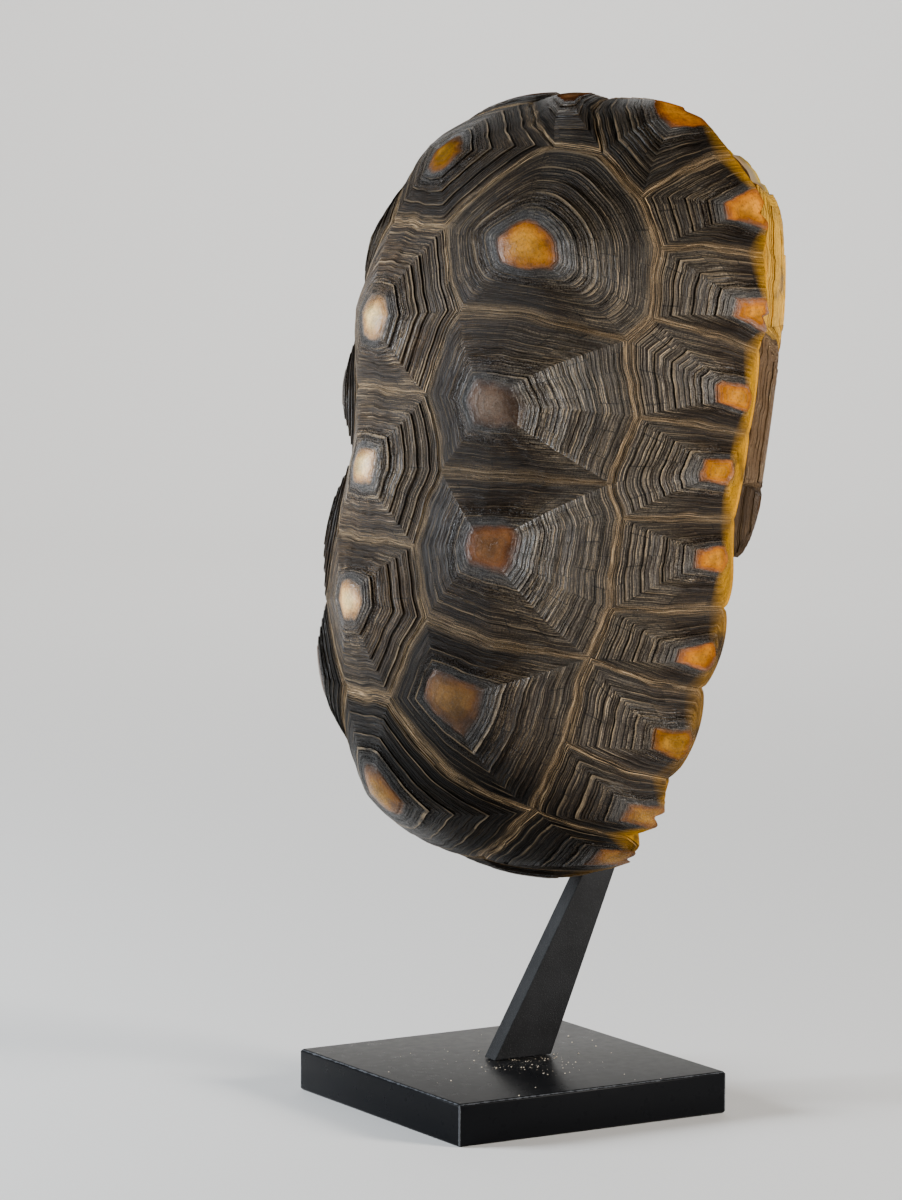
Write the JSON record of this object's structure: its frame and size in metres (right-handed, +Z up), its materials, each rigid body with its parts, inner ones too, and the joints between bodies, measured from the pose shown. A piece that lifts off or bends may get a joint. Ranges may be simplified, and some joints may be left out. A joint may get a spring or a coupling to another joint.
{
  "type": "tortoise shell on a display stand",
  "caption": "Empty tortoise shell with domed, ringed plates, held head end up on a leaning flat bar and a square plate.",
  "frame": {"origin": "centre of the square plate's underside", "axes": "+Z up, from the plate to the head end of the shell; +X toward the side that the belly plate faces; -Y toward the animal's right side"},
  "size_m": [0.1665, 0.1868, 0.3908],
  "materials": {
    "plate_lacquer": "satin",
    "bar_powder_coat": "matte",
    "shell_horn": "satin"
  },
  "bodies": {
    "root": {"base": "plate_lacquer", "post": "bar_powder_coat", "shell": "shell_horn"}
  },
  "joints": []
}
